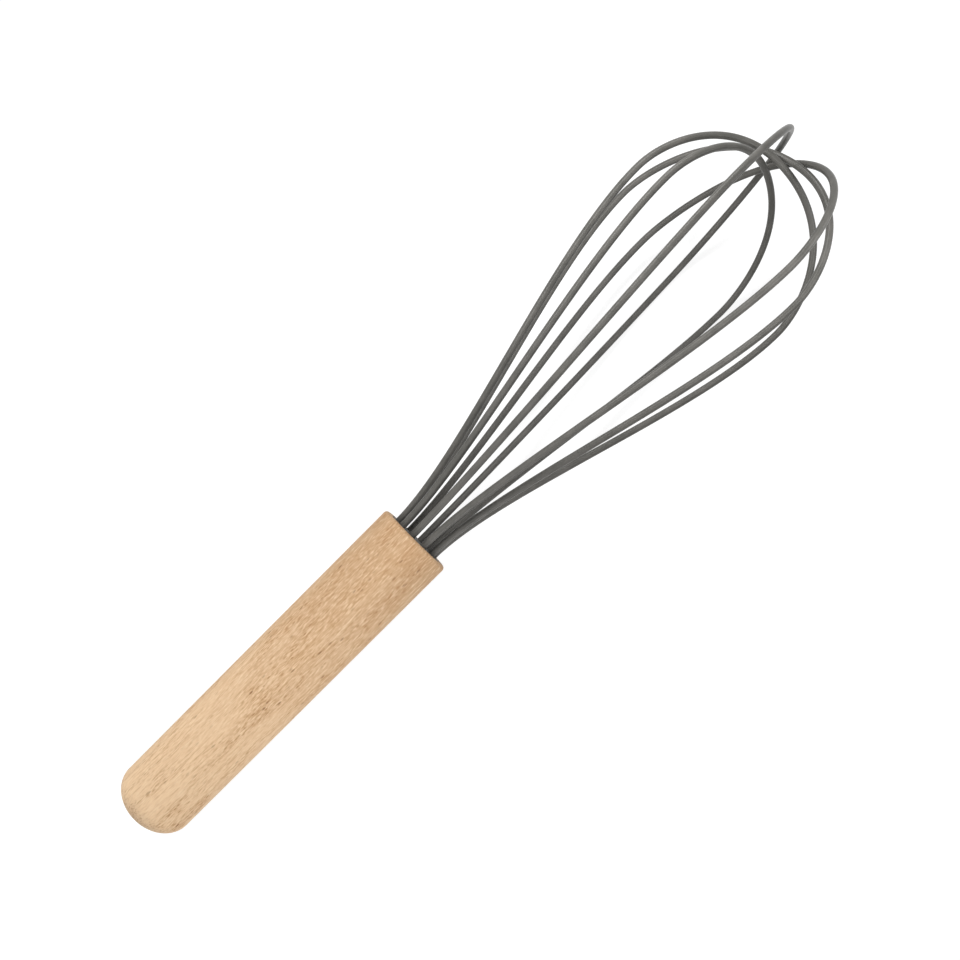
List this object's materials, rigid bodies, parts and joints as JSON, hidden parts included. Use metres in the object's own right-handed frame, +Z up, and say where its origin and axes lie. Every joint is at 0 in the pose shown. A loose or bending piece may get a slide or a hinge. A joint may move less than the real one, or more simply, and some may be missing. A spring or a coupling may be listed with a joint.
{
  "type": "balloon whisk",
  "caption": "Hand whisk with crossing silicone-coated wire loops set in a round beech handle with a domed butt, for beating and mixing food.",
  "frame": {"origin": "middle of the box that holds the whisk, on the surface that it lies on", "axes": "+X along the whisk from the butt to the loops, +Z up; the whisk lies on two neighbouring wires and the butt of its handle, so its own axis rises 5.9 degrees towards the loops"},
  "size_m": [0.296, 0.0718, 0.0737],
  "materials": {
    "beech": "sanded, raw to lightly oiled, satin",
    "silicone": "matte moulded silicone, dark grey",
    "spring_steel": "drawn stainless spring wire",
    "nylon": "moulded, matte, dark grey",
    "resin": "cast, clear amber, unseen"
  },
  "bodies": {
    "root": {"handle": "beech", "wire_holder": "nylon", "bonding_resin": "resin", "loop_core_1": "spring_steel", "loop_core_2": "spring_steel", "loop_core_3": "spring_steel", "loop_core_4": "spring_steel", "loop_core_5": "spring_steel", "loop_coat_1": "silicone", "loop_coat_2": "silicone", "loop_coat_3": "silicone", "loop_coat_4": "silicone", "loop_coat_5": "silicone"}
  },
  "joints": []
}
